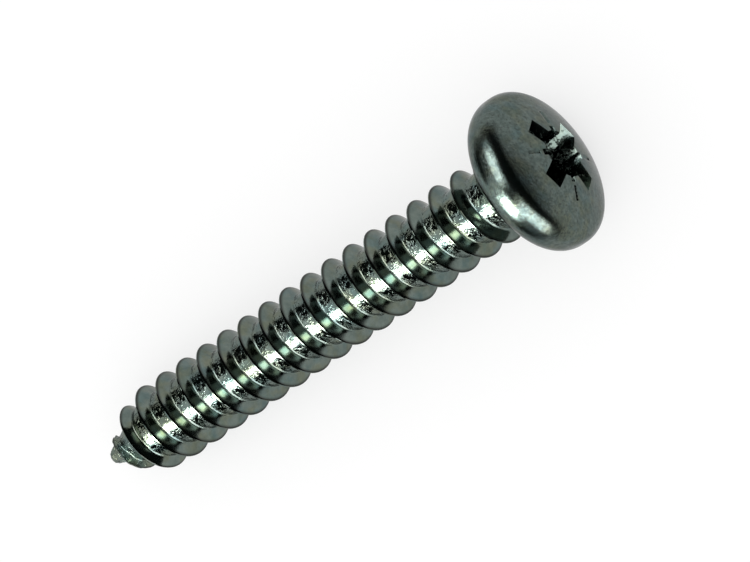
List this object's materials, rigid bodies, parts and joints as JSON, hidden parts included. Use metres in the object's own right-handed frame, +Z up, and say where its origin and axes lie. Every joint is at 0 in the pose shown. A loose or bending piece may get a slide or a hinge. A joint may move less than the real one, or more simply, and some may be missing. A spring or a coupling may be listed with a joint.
{
  "type": "sheet metal screw",
  "caption": "Pan head sheet metal screw with a coarse spaced thread up to the head, a cone point and a cross recess, lying on its side.",
  "frame": {"origin": "on the floor below the middle of the screw, which lies on the rim of its head and one thread crest near the point", "axes": "+X along the screw from point to head, level with the floor, +Z up. The screw's own axis rises 4.35 degrees from +X towards the head"},
  "size_m": [0.034, 0.009, 0.009],
  "materials": {
    "zinc_plated_steel": "bright zinc plating, mottled on the head and scratched between the turns"
  },
  "bodies": {
    "root": {"screw": "zinc_plated_steel"}
  },
  "joints": []
}
